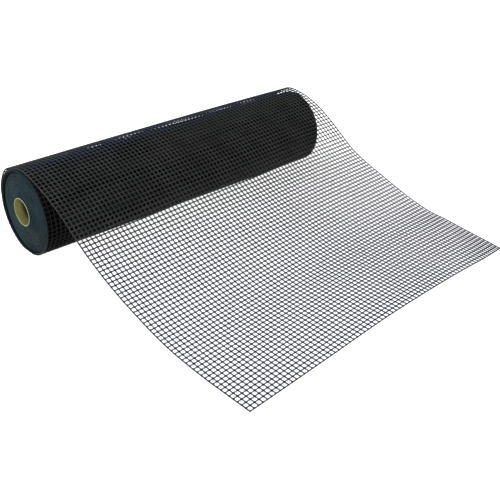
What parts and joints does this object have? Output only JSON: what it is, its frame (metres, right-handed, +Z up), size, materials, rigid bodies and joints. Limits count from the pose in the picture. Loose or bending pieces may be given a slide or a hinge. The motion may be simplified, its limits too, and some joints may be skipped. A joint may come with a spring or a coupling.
{
  "type": "bird netting roll",
  "caption": "Roll of black square-mesh plastic netting on a cardboard tube, lying on its side with its loose end drawn off the top and laid out on the floor.",
  "frame": {"origin": "middle of the narrow flat strip on which the roll rests, under the roll's axis", "axes": "+X along the roll to the right as seen from the loose end, -Y the way the loose end runs out, +Z up"},
  "size_m": [1.0134, 0.999, 0.2476],
  "materials": {
    "core_card": "matt kraft cardboard",
    "wound_net": "satin black net in many turns",
    "loose_net": "satin black net, one layer"
  },
  "bodies": {
    "root": {"core_tube": "core_card", "net_roll": "wound_net", "loose_end": "loose_net"}
  },
  "joints": []
}
